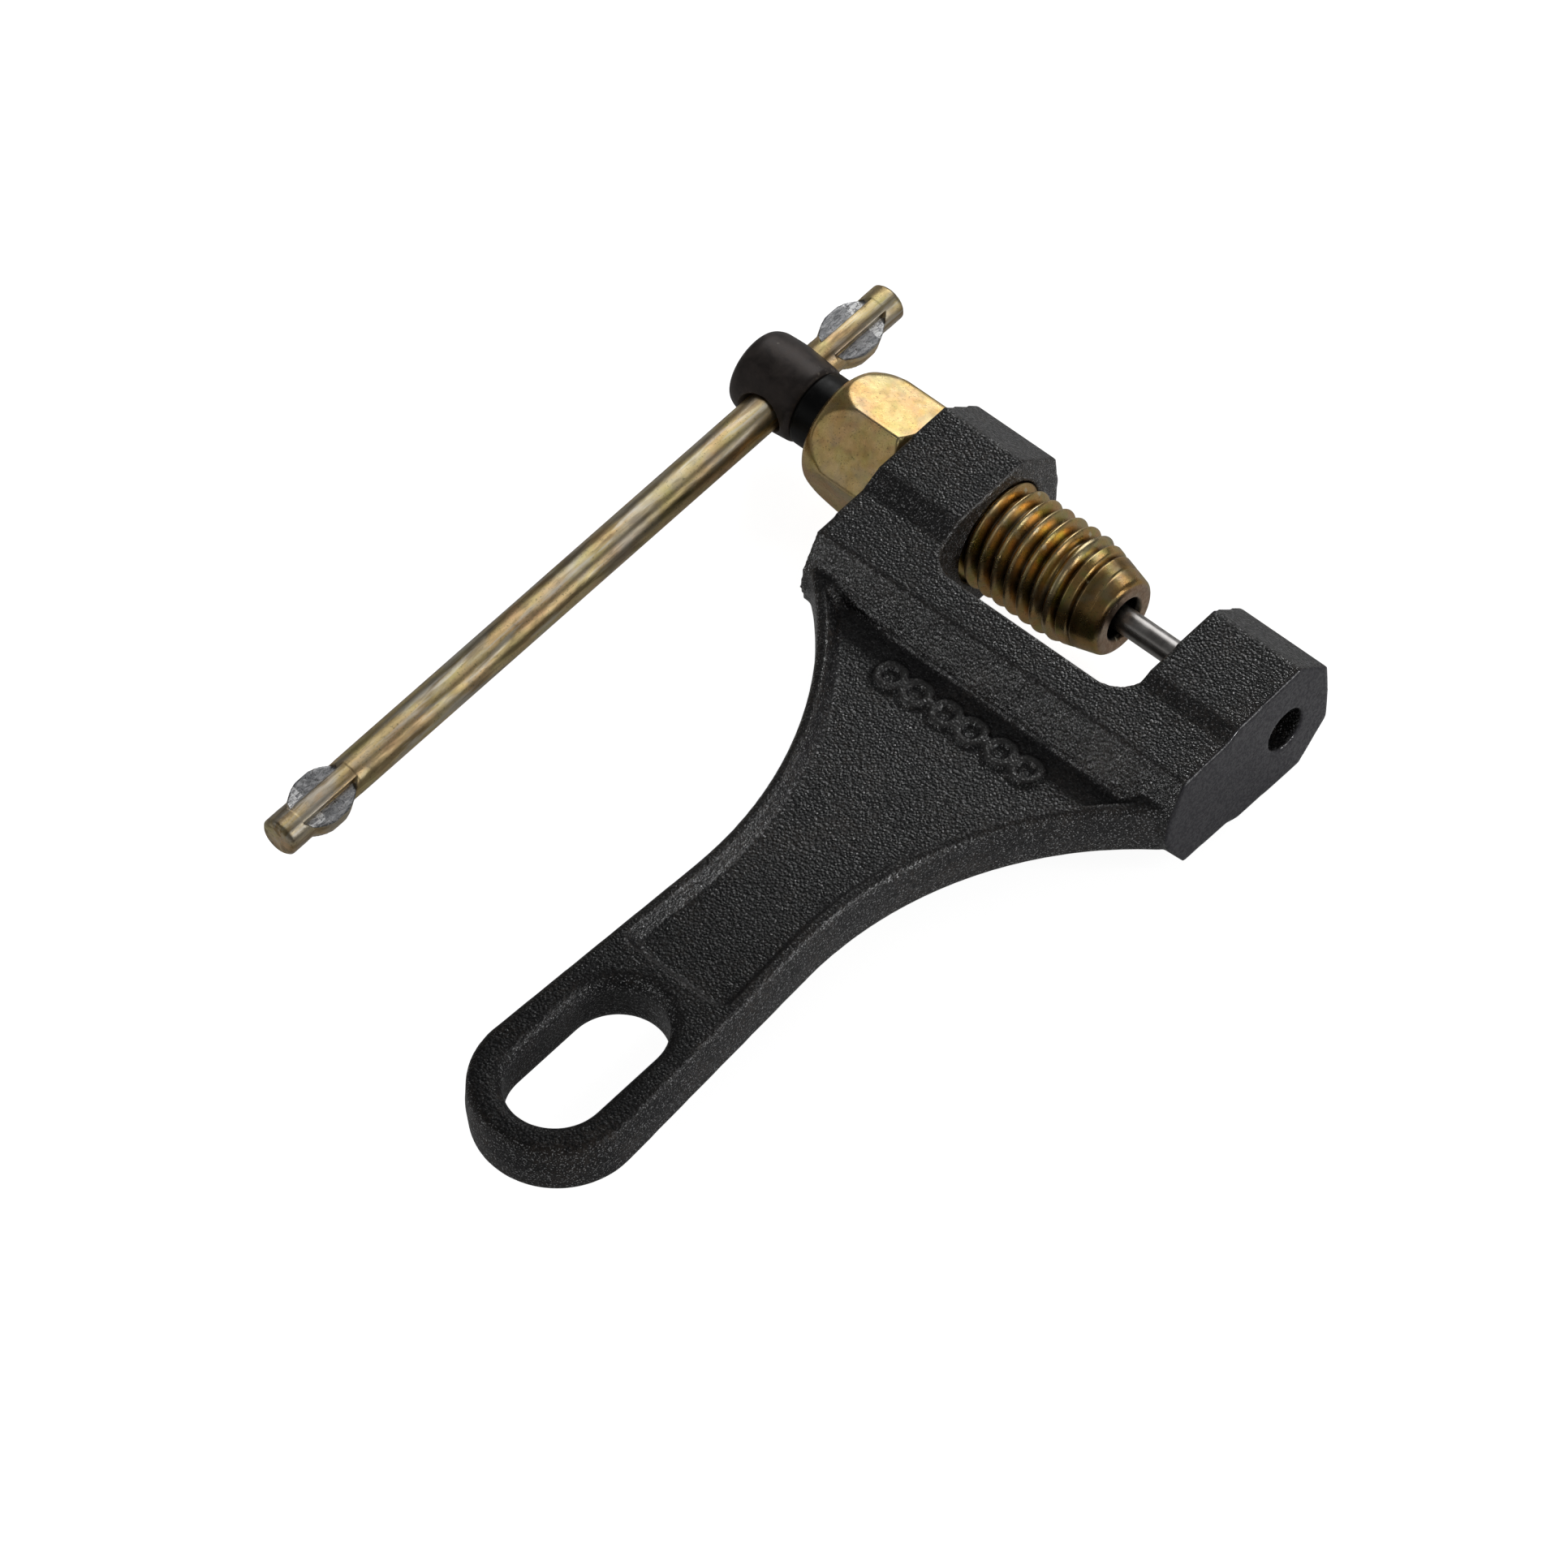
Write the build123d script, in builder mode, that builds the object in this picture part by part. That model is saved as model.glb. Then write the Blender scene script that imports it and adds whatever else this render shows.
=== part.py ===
from build123d import *
import math
import os

# Chain breaker for roller chains: a cast C-shaped frame with a flat handle, a hollow
# hex-head clamping bolt, a pusher screw running inside it, the ejector pin it drives,
# a rubber stop ring and a sliding tommy bar.
#
# Frame of reference (mm): the origin is where the screw axis meets the anvil face that
# the chain bears on. X runs along the screw axis, away from the head and into the
# anvil. The handle points to -Y. The tool lies flat, Z up, its parting plane at Z = 0.

# ---- frame ----
frame_length = 56.6        # along the screw axis
anvil_length = 13.4        # anvil block, in front of the origin
jaw_gap = 30.7             # clear opening between the threaded boss and the anvil
frame_right = anvil_length
frame_left = frame_right - frame_length
boss_right = -jaw_gap
frame_middle = frame_right - frame_length / 2
gap_floor = -13.0          # bottom of the jaw opening
gap_corner = 4.2           # radius of its corners
anvil_bore = 5.8           # hole that receives the chain pin being driven out

# ---- handle ----
plate_half = 3.9           # half thickness of the handle
end_radius = 10.6          # rounded end of the handle
end_y = -93.7              # centre of that end
flank_radius = 47.8        # concave flank between spine and waist
flank_x = 56.6             # centre of the flank arc, out from the handle centre line
flank_y = -58.6
flank_top = -20.8          # where the flank runs into the end of the spine
draft = 4.0                # degrees, both ways from the parting plane
edge_round = 1.0
rim_width = 2.7            # rib left around the recessed web
web_half = 1.8             # half thickness of the web
pocket_flare = 1.1         # how far the pocket walls lean outward
pocket_end_y = -73.4
mark_y = -25.2             # row of raised chain links on the web
mark_height = 0.6
slot_width = 12.2
slot_length = 22.2
slot_y = -88.9
slot_round = 1.7           # the slot is rounded over more than the outline

# ---- clamp bolt, M14 x 2, hollow ----
bolt_radius = 7.0
bolt_pitch = 2.0
bolt_bore = 14.2           # hole in the threaded boss
nose_x = -11.3
nose_radius = 4.95
nose_cone = 7.4            # length of the tapered nose
nose_hole = 5.4
hex_flats = 15.6
hex_front = frame_left - 0.2
hex_rear = -56.0
hex_turn = 44.0            # angle of the first corner above +Y

# ---- pusher screw, M8 x 1.25 ----
screw_radius = 4.0
screw_pitch = 1.25
screw_bore = 8.2           # hole inside the bolt
screw_bore_end = -19.5
head_front = -59.75
head_rear = -69.5
head_radius = 5.55
screw_tip = -24.5

# ---- ejector pin ----
pin_diameter = 3.3
pin_socket = 3.4
pin_seat = 6.0             # length held in the screw tip
pin_tip = 4.6

# ---- stop ring ----
ring_outer = 9.8
ring_inner = 8.2
ring_gap = 0.1             # left free at each end of the ring

# ---- tommy bar ----
bar_diameter = 5.0
bar_hole = 5.2
bar_x = -64.0
bar_top = 18.0
bar_length = 106.2
bar_tilt = 75.0            # direction the ear flats face, measured from +X toward +Z
ear_from_end = 7.2
ear_length = 9.0
ear_half_width = 3.45
ear_half_thickness = 1.25
ridge_half = 1.15          # strip of round bar left standing between two ears


os.makedirs("parts", exist_ok=True)


def mirrored(points):
    """A closed section symmetric about the parting plane, from its upper points."""
    return points + [(y, -z) for y, z in reversed(points) if z != 0]


def flank_points(inset):
    """The concave flank and the straight side below it, moved inward by inset.

    Returns the top, middle and lower end of the arc, the lower end of the straight
    side, and the angle of the normal along that side.
    """
    arc_radius = flank_radius + inset
    round_radius = end_radius - inset
    across = flank_x
    along = flank_y - end_y
    normal = math.atan2(along, across) - math.acos(
        (arc_radius + round_radius) / math.hypot(across, along)
    )
    top_y = flank_top - inset / 2
    top_angle = math.asin((top_y - flank_y) / arc_radius)
    middle_angle = (top_angle - normal) / 2
    top = (flank_x - arc_radius * math.cos(top_angle), top_y)
    middle = (
        flank_x - arc_radius * math.cos(middle_angle),
        flank_y + arc_radius * math.sin(middle_angle),
    )
    waist = (
        flank_x - arc_radius * math.cos(normal),
        flank_y - arc_radius * math.sin(normal),
    )
    side_end = (
        round_radius * math.cos(normal),
        end_y + round_radius * math.sin(normal),
    )
    return top, middle, waist, side_end, normal


def other_side(point):
    """The same point on the left of the handle centre line."""
    return (-point[0], point[1])


def inside_slot(edge):
    """Whether an edge belongs to the hanging slot rather than the outer outline."""
    middle = edge.center()
    return abs(middle.X - frame_middle) < slot_width * 0.55 and middle.Y > slot_y - slot_length * 0.55


def thread_groove(radius, pitch, start, stop):
    """A helical groove cut into a rod along X, running between two stations."""
    depth = 0.6 * pitch
    with BuildPart() as groove:
        with BuildLine() as path:
            Helix(pitch, stop - start, radius, center=(start, 0, 0), direction=(1, 0, 0))
        thread_line = path.line
        begin = thread_line @ 0
        across = Plane(origin=begin, x_dir=(0, begin.Y, begin.Z), z_dir=thread_line % 0)
        with BuildSketch(across):
            with BuildLine():
                Polyline(
                    (-depth, -0.12 * pitch),
                    (-depth, 0.12 * pitch),
                    (0.1 * pitch, 0.49 * pitch),
                    (0.1 * pitch, -0.49 * pitch),
                    close=True,
                )
            make_face()
        sweep(path=thread_line, is_frenet=True)
    return groove.part


# ---------------------------------------------------------------- frame
spine_section = [(-9.0, 7.7), (-17.9, 7.4), (-20.7, 2.7), (-21.3, 0)]
boss_section = [(-14.0, 7.5), (-10.0, 7.6), (-7.1, 9.1), (4.4, 9.5), (10.2, 4.4), (10.6, 0)]
anvil_section = [(-14.0, 7.5), (-10.4, 7.7), (-8.5, 8.5), (2.6, 9.0), (7.5, 4.7), (7.8, 0)]
handle_plane = Plane(origin=(frame_middle, 0, 0), z_dir=(0, 0, 1))

with BuildPart() as frame:
    # upper half of the handle plate, drafted from the parting plane
    with BuildSketch(handle_plane):
        with BuildLine():
            top, middle, waist, side_end, normal = flank_points(0)
            Polyline(top, (top[0], -15), (-top[0], -15), other_side(top))
            ThreePointArc(other_side(top), other_side(middle), other_side(waist))
            Line(other_side(waist), other_side(side_end))
            ThreePointArc(other_side(side_end), (0, end_y - end_radius), side_end)
            Line(side_end, waist)
            ThreePointArc(waist, middle, top)
        make_face()
    extrude(amount=plate_half, taper=draft)
    fillet(frame.edges().group_by(Axis.Z)[-1], edge_round)

    # hanging slot near the end
    with BuildSketch(handle_plane):
        with Locations((0, slot_y)):
            SlotOverall(slot_length, slot_width, rotation=90)
    extrude(amount=plate_half + 1, mode=Mode.SUBTRACT)
    fillet(frame.edges().group_by(Axis.Z)[-1].filter_by(inside_slot), slot_round)

    # recessed web with a sloping wall all round
    for inset, height in ((rim_width, web_half), (rim_width - pocket_flare, plate_half + 0.1)):
        with BuildSketch(handle_plane.offset(height)):
            with BuildLine():
                top, middle, waist, side_end, normal = flank_points(inset)
                low_y = pocket_end_y - (rim_width - inset)
                corner = (waist[0] + (waist[1] - low_y) * math.tan(normal), low_y)
                Polyline(top, (top[0], -15), (-top[0], -15), other_side(top))
                ThreePointArc(other_side(top), other_side(middle), other_side(waist))
                Polyline(other_side(waist), other_side(corner), corner, waist)
                ThreePointArc(waist, middle, top)
            pocket = make_face()
            fillet(pocket.vertices().sort_by(Axis.Y)[0:2], 1.6)
    loft(ruled=True, mode=Mode.SUBTRACT)

    # row of three raised chain links on the web
    with BuildSketch(handle_plane.offset(web_half - 0.2)):
        for link_x in (-8.5, 0, 8.5):
            with Locations((link_x - 1.95, mark_y), (link_x + 1.95, mark_y)):
                Circle(2.1)
        for link_x in (-8.5, 0, 8.5):
            with Locations((link_x - 1.95, mark_y), (link_x + 1.95, mark_y)):
                Circle(1.15, mode=Mode.SUBTRACT)
    extrude(amount=mark_height + 0.2)
    mirror(about=Plane.XY)

    # spine, threaded boss and anvil block
    for section, start, length in (
        (spine_section, frame_left, frame_length),
        (boss_section, frame_left, frame_length / 2),
        (anvil_section, frame_right - frame_length / 2, frame_length / 2),
    ):
        with BuildSketch(Plane.YZ.offset(start)):
            Polygon(*mirrored(section), align=None)
        extrude(amount=length)

    # jaw opening
    with BuildSketch(Plane.XY):
        with Locations((-jaw_gap / 2, gap_floor)):
            opening = Rectangle(jaw_gap, 30, align=(Align.CENTER, Align.MIN))
        fillet(opening.vertices().sort_by(Axis.Y)[0:2], gap_corner)
    extrude(amount=12, both=True, mode=Mode.SUBTRACT)

    # bore for the clamp bolt and hole for the chain pin
    with BuildSketch(Plane.YZ.offset(frame_left - 1)):
        Circle(bolt_bore / 2)
    extrude(amount=frame_length / 2, mode=Mode.SUBTRACT)
    with BuildSketch(Plane.YZ.offset(-1)):
        Circle(anvil_bore / 2)
    extrude(amount=anvil_length + 2, mode=Mode.SUBTRACT)
frame.part.label = "frame"

# ---------------------------------------------------------------- clamp bolt
with BuildPart() as bolt_head:
    with BuildSketch(Plane.YZ.offset(hex_rear)):
        RegularPolygon(hex_flats / 2, 6, major_radius=False, rotation=hex_turn)
    extrude(amount=hex_front - hex_rear)
    # both ends of the head turned down to a dome and a cone
    corner = hex_flats / 2 / math.cos(math.radians(30))
    with BuildSketch(Plane.XY):
        with BuildLine():
            Line((hex_rear, 0), (hex_rear, 6.6))
            ThreePointArc((hex_rear, 6.6), (hex_rear + 2.1, 8.0), (hex_rear + 5.2, corner + 0.05))
            Line((hex_rear + 5.2, corner + 0.05), (hex_front - 3.0, corner + 0.05))
            Line((hex_front - 3.0, corner + 0.05), (hex_front, 7.4))
            Line((hex_front, 7.4), (hex_front, 0))
            Line((hex_front, 0), (hex_rear, 0))
        make_face()
    revolve(axis=Axis.X, mode=Mode.INTERSECT)

with BuildPart() as clamp_bolt:
    # threaded shank, its round edge starting half way up from +Y
    with BuildSketch(Plane(origin=(hex_front - 0.5, 0, 0), x_dir=(0, 1, 1), z_dir=(1, 0, 0))):
        Circle(bolt_radius)
    extrude(amount=nose_x - hex_front + 0.5)
    add(thread_groove(bolt_radius, bolt_pitch, hex_front + 1.6, nose_x + 1), mode=Mode.SUBTRACT)
    # tapered nose
    with BuildSketch(Plane.XY):
        Polygon(
            (nose_x - nose_cone, bolt_radius),
            (nose_x - 0.3, nose_radius + 0.1),
            (nose_x, nose_radius - 0.3),
            (nose_x + 1, nose_radius - 0.3),
            (nose_x + 1, bolt_radius + 1),
            (nose_x - nose_cone, bolt_radius + 1),
            align=None,
        )
    revolve(axis=Axis.X, mode=Mode.SUBTRACT)
    add(bolt_head.part)
    # stepped hole through it
    with BuildSketch(Plane.XY):
        Polygon(
            (hex_rear - 1, 0),
            (hex_rear - 1, screw_bore / 2 + 1),
            (hex_rear, screw_bore / 2 + 0.4),
            (hex_rear + 0.4, screw_bore / 2),
            (screw_bore_end, screw_bore / 2),
            (screw_bore_end + 1.2, nose_hole / 2),
            (nose_x - 0.4, nose_hole / 2),
            (nose_x, nose_hole / 2 + 0.3),
            (nose_x + 1, nose_hole / 2 + 1),
            (nose_x + 1, 0),
            align=None,
        )
    revolve(axis=Axis.X, mode=Mode.SUBTRACT)
clamp_bolt.part.label = "clamp_bolt"

# ---------------------------------------------------------------- stop ring
ring_front = hex_rear - ring_gap
ring_rear = head_front + ring_gap
with BuildPart() as stop_ring:
    with BuildSketch(Plane.YZ.offset(ring_rear)):
        Circle(ring_outer / 2)
        Circle(ring_inner / 2, mode=Mode.SUBTRACT)
    extrude(amount=ring_front - ring_rear)
    fillet(stop_ring.edges().filter_by(lambda e: e.length > math.pi * (ring_outer - 0.5)), 0.45)
stop_ring.part.label = "stop_ring"

# ---------------------------------------------------------------- pusher screw
with BuildPart() as pusher_screw:
    with BuildSketch(Plane.XY):
        with BuildLine():
            Line((head_rear, 0), (head_rear, 4.2))
            ThreePointArc((head_rear, 4.2), (head_rear + 0.45, 5.0), (head_rear + 1.4, 5.35))
            ThreePointArc(
                (head_rear + 1.4, 5.35), (head_rear + 4.6, head_radius), (head_front - 0.4, 4.95)
            )
            Line((head_front - 0.4, 4.95), (head_front, 4.6))
            Line((head_front, 4.6), (head_front, screw_radius))
            Line((head_front, screw_radius), (screw_tip - 0.6, screw_radius))
            Line((screw_tip - 0.6, screw_radius), (screw_tip, screw_radius - 0.6))
            Line((screw_tip, screw_radius - 0.6), (screw_tip, 0))
            Line((screw_tip, 0), (head_rear, 0))
        make_face()
    revolve(axis=Axis.X)
    add(thread_groove(screw_radius, screw_pitch, head_front + 3.2, screw_tip + 1), mode=Mode.SUBTRACT)
    # socket for the ejector pin
    with BuildSketch(Plane.YZ.offset(screw_tip + 1)):
        Circle(pin_socket / 2)
    extrude(amount=-pin_seat - 1, mode=Mode.SUBTRACT)
    # cross hole for the tommy bar, opened out a little at both mouths
    with BuildSketch(Plane(origin=(bar_x, 0, 0), x_dir=(1, 0, 0), z_dir=(0, 0, 1))):
        Polygon(
            (0, -7),
            (bar_hole / 2 + 1.9, -7),
            (bar_hole / 2, -4.4),
            (bar_hole / 2, 4.4),
            (bar_hole / 2 + 1.9, 7),
            (0, 7),
            align=None,
        )
    revolve(axis=Axis((bar_x, 0, 0), (0, 1, 0)), mode=Mode.SUBTRACT)
pusher_screw.part.label = "pusher_screw"

# ---------------------------------------------------------------- ejector pin
with BuildPart() as ejector_pin:
    with BuildSketch(Plane.YZ.offset(screw_tip - pin_seat + 0.1)):
        Circle(pin_diameter / 2)
    extrude(amount=pin_tip - (screw_tip - pin_seat + 0.1))
    chamfer(ejector_pin.edges().group_by(Axis.X)[-1], 0.4)
    chamfer(ejector_pin.edges().group_by(Axis.X)[0], 0.3)
ejector_pin.part.label = "ejector_pin"

# ---------------------------------------------------------------- tommy bar
ear_apex = ear_half_width - ridge_half
ear_radius = ((ear_length / 2) ** 2 + ear_apex**2) / (2 * ear_apex)
bar_middle = bar_top - bar_length / 2
ear_reach = bar_length / 2 - ear_from_end
ear_plane = Plane(
    origin=(bar_x, bar_middle, 0),
    x_dir=(0, 1, 0),
    z_dir=(math.cos(math.radians(bar_tilt)), 0, math.sin(math.radians(bar_tilt))),
)

with BuildSketch() as ears:
    # the four D-shaped outlines pressed by the stamping dies, two at each end
    for along in (-ear_reach, ear_reach):
        for side in (1, -1):
            with BuildLine():
                start = (along - ear_length / 2, side * ridge_half)
                stop = (along + ear_length / 2, side * ridge_half)
                Line(start, stop)
                ThreePointArc(stop, (along, side * ear_half_width), start)
            make_face()

with BuildPart() as tommy_bar:
    with BuildSketch(Plane(origin=(bar_x, bar_top - bar_length, 0), z_dir=(0, 1, 0))):
        Circle(bar_diameter / 2)
    extrude(amount=bar_length)
    chamfer(tommy_bar.edges().group_by(Axis.Y)[0], 0.35)
    chamfer(tommy_bar.edges().group_by(Axis.Y)[-1], 0.35)
    for side in (1, -1):
        with BuildSketch(ear_plane.offset(side * ear_half_thickness)):
            add(ears.sketch)
        extrude(amount=side * 2, mode=Mode.SUBTRACT)
    with BuildSketch(ear_plane):
        add(ears.sketch)
    extrude(amount=ear_half_thickness, both=True)
tommy_bar.part.label = "tommy_bar"

export_step(frame.part, "parts/frame.step")
export_step(clamp_bolt.part, "parts/clamp_bolt.step")
export_step(stop_ring.part, "parts/stop_ring.step")
export_step(pusher_screw.part, "parts/pusher_screw.step")
export_step(ejector_pin.part, "parts/ejector_pin.step")
export_step(tommy_bar.part, "parts/tommy_bar.step")
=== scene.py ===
import math

import bmesh
import bpy
import numpy as np
from mathutils import Matrix, Vector


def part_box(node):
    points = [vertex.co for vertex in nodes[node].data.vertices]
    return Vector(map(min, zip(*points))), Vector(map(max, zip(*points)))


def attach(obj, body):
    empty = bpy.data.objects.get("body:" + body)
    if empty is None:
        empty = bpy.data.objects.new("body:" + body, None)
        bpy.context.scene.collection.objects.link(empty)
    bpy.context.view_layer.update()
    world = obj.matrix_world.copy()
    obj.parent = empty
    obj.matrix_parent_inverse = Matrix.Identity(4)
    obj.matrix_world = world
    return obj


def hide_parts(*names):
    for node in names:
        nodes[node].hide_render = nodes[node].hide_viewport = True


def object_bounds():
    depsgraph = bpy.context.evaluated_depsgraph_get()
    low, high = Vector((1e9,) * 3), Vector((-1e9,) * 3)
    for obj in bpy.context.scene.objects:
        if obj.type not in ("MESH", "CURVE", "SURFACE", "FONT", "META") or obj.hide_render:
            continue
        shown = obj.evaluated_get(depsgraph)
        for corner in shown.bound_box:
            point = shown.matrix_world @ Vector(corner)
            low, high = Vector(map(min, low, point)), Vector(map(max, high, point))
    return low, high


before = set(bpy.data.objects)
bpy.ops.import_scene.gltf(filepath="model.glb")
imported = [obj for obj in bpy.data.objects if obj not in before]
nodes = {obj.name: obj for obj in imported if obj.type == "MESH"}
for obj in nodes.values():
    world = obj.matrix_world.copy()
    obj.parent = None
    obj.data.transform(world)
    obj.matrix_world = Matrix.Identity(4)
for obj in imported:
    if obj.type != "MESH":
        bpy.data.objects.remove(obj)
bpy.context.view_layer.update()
MM = 0.001


# ---------------------------------------------------------------- sizes, in millimetres
def millimetres(box):
    """The lowest and highest corners, in millimetres, of a box that is given in metres."""
    return [np.array(corner) / MM for corner in box]


ANVIL_END, HANDLE_X = 13.4, -14.9
LINK_ROW_Y, LINK_ROW_HALF, LINK_HALF_WIDTH, LINK_TOP = -25.2, 13.4, 2.6, 2.4
DULL_END_Y, GLOSSY_FROM_Y = -92.0, -52.0

low, high = millimetres(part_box("clamp_bolt"))
HEX_REAR, NOSE_X = low[0], high[0]
HEX_FRONT = HEX_REAR + 12.6
HEX_FLAT_RADIUS = 7.8
HEX_CORNER_RADIUS = HEX_FLAT_RADIUS / math.cos(math.pi / 6)
HEX_CORNER_ANGLE = math.radians(44)
BOLT_RADIUS, BOLT_PITCH, BOLT_DEPTH = 7.0, 2.0, 1.45
NOSE_CONE, NOSE_RADIUS, NOSE_HOLE = 7.4, 5.1, 2.7
SCREW_BORE, SCREW_BORE_END = 4.1, NOSE_X - 8.2

low, high = millimetres(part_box("pusher_screw"))
HEAD_REAR, SCREW_TIP = low[0], high[0]
HEAD_FRONT = HEAD_REAR + 9.75
SCREW_RADIUS, SCREW_PITCH, SCREW_DEPTH = 4.0, 1.25, 0.72
BAR_X, BAR_HOLE = HEAD_REAR + 5.5, 2.6

low, high = millimetres(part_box("tommy_bar"))
BAR_LOW, BAR_TOP = low[1], high[1]
BAR_RADIUS, BAR_END_ROUND = 2.5, 0.4
BAR_TILT = math.radians(75)
EAR_FROM_END, EAR_HALF_LENGTH, EAR_APEX, EAR_RIDGE, EAR_THICK = 7.2, 4.5, 3.45, 1.15, 1.25

low, high = millimetres(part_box("stop_ring"))
RING_REAR, RING_FRONT, RING_OUTER, RING_INNER = low[0], high[0], high[2], 4.12

low, high = millimetres(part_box("ejector_pin"))
PIN_REAR, PIN_TIP, PIN_RADIUS = low[0], high[0], high[2]

CAST_VOXEL, CAST_VOXEL_QUICK, HEAD_VOXEL = 0.30, 0.6, 0.13
X_AXIS, Y_AXIS, Z_AXIS = np.eye(3)


# ---------------------------------------------------------------- mesh helpers
def smooth_min(a, b, k):
    """The smaller of a and b, with the crease between them rounded over k."""
    h = np.clip(0.5 + 0.5 * (b - a) / k, 0, 1)
    return b * (1 - h) + a * h - k * h * (1 - h)


def rounded_path(corners, step):
    """Stations along a polyline of (x, r, corner radius[, step]), its corners turned into arcs."""
    points = []
    for i, corner in enumerate(corners):
        here = np.array(corner[:2], float)
        if i in (0, len(corners) - 1) or corner[2] == 0:
            arc = [here]
        else:
            before = np.array(corners[i - 1][:2], float) - here
            after = np.array(corners[i + 1][:2], float) - here
            cut = min(corner[2], 0.45 * np.linalg.norm(before), 0.45 * np.linalg.norm(after))
            first = here + before / np.linalg.norm(before) * cut
            last = here + after / np.linalg.norm(after) * cut
            arc = [
                (1 - t) ** 2 * first + 2 * t * (1 - t) * here + t * t * last
                for t in np.linspace(0, 1, 5)
            ]
        if points:
            gap = np.linalg.norm(arc[0] - points[-1])
            pace = corners[i - 1][3] if len(corners[i - 1]) > 3 else step
            parts = max(1, int(round(gap / pace)))
            points += [points[-1] + (arc[0] - points[-1]) * k / parts for k in range(1, parts)]
        points += arc
    return np.array(points)


def add_object(name, data):
    made = bpy.data.objects.new(name, data)
    bpy.context.scene.collection.objects.link(made)
    return made


def smooth_shaded(piece):
    piece.data.polygons.foreach_set("use_smooth", [True] * len(piece.data.polygons))
    return piece


def ring_mesh(name, centres, radii, angles, across, up, along, closed=False):
    """A skin over rings: ring i sits at centres[i] on the line along, radius radii[i, j] at angles[j].

    An open skin is closed by a fan at each end, and a closed one joins its last ring to its first.
    """
    count, sides = radii.shape
    spokes = np.cos(angles)[:, None] * across + np.sin(angles)[:, None] * up
    points = centres[:, None, None] * along + radii[:, :, None] * spokes[None]
    points = points.reshape(-1, 3)
    ring = np.arange(count if closed else count - 1)[:, None]
    side = np.arange(sides)[None, :]
    a = ring * sides + side
    b = ring * sides + (side + 1) % sides
    c = (ring + 1) % count * sides + (side + 1) % sides
    d = (ring + 1) % count * sides + side
    faces = np.stack([a, d, c, b], -1).reshape(-1, 4).tolist()
    if not closed:
        first, last = len(points), len(points) + 1
        ends = np.array([centres[0] * along, centres[-1] * along])
        points = np.vstack([points, ends])
        top = (count - 1) * sides
        faces += [(first, k, (k + 1) % sides) for k in range(sides)]
        faces += [(last, top + (k + 1) % sides, top + k) for k in range(sides)]
    mesh = bpy.data.meshes.new(name)
    mesh.from_pydata((points * MM).tolist(), [], faces)
    shape = bmesh.new()
    shape.from_mesh(mesh)
    bmesh.ops.recalc_face_normals(shape, faces=shape.faces)
    shape.to_mesh(mesh)
    shape.free()
    return smooth_shaded(add_object(name, mesh))


def full_circle(sides):
    return np.linspace(0, 2 * math.pi, sides, endpoint=False)


def turned(name, path, sides, radius=None, closed=False):
    """A piece turned about the X axis from a path of (x, r); radius(x, r, angle) may reshape it."""
    angles = full_circle(sides)
    radii = np.repeat(path[:, 1:2], sides, 1)
    if radius:
        radii = radius(path[:, 0:1], radii, angles[None, :])
    return ring_mesh(name, path[:, 0], radii, angles, Y_AXIS, Z_AXIS, X_AXIS, closed)


def thread_depth(x, angle, pitch, depth):
    """How far a right-hand thread's surface lies below its crest."""
    # shares of half a turn: the flat of the crest ends at the first, and the root starts at the second
    crest, root = 0.06, 0.96
    phase = (x / pitch - angle / (2 * math.pi)) % 1.0
    away = np.abs(phase - 0.5) * 2
    return depth * np.clip((away - crest) / (root - crest), 0, 1) ** 1.35


def add_skin(piece, voxel, smoothings):
    """Gives a piece one even skin of small faces, with its edges softened."""
    remesh = piece.modifiers.new("skin", "REMESH")
    remesh.mode = "VOXEL"
    remesh.voxel_size = voxel * MM
    soften = piece.modifiers.new("soften", "SMOOTH")
    soften.factor = 0.5
    soften.iterations = smoothings


def apply_modifiers(piece):
    """Turns a piece's modifiers into its mesh."""
    graph = bpy.context.evaluated_depsgraph_get()
    graph.update()
    mesh = bpy.data.meshes.new_from_object(piece.evaluated_get(graph))
    piece.modifiers.clear()
    piece.data = mesh
    return piece


# ---------------------------------------------------------------- frame casting
def cast_frame():
    piece = add_object("frame_casting", nodes["frame"].data.copy())
    add_skin(piece, CAST_VOXEL, 2)
    return smooth_shaded(apply_modifiers(piece))


# ---------------------------------------------------------------- clamp bolt
def bolt_shape(x, r, angle):
    """Cuts the bolt's outside back to the hexagon's flats and to the thread."""
    plain, run_in = 1.2, 2.0
    outside = r > SCREW_BORE + 0.5
    head = outside & (x < HEX_FRONT + 0.01)
    shank = outside & (x > HEX_FRONT + 0.01)
    turn = (angle - HEX_CORNER_ANGLE) % (math.pi / 3) - math.pi / 6
    flat = HEX_FLAT_RADIUS / np.cos(turn)
    beside = HEX_FLAT_RADIUS / np.cos(math.pi / 3 - np.abs(turn))
    hexagon = smooth_min(flat, beside, 0.07)
    start = np.clip((x - HEX_FRONT - plain) / run_in, 0, 1)
    groove = thread_depth(x, angle, BOLT_PITCH, BOLT_DEPTH) * start
    threaded = smooth_min(BOLT_RADIUS - groove, r + 0 * angle, 0.09)
    r = np.where(head, smooth_min(r, hexagon, 0.10), r)
    return np.where(shank, threaded, r)


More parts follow.
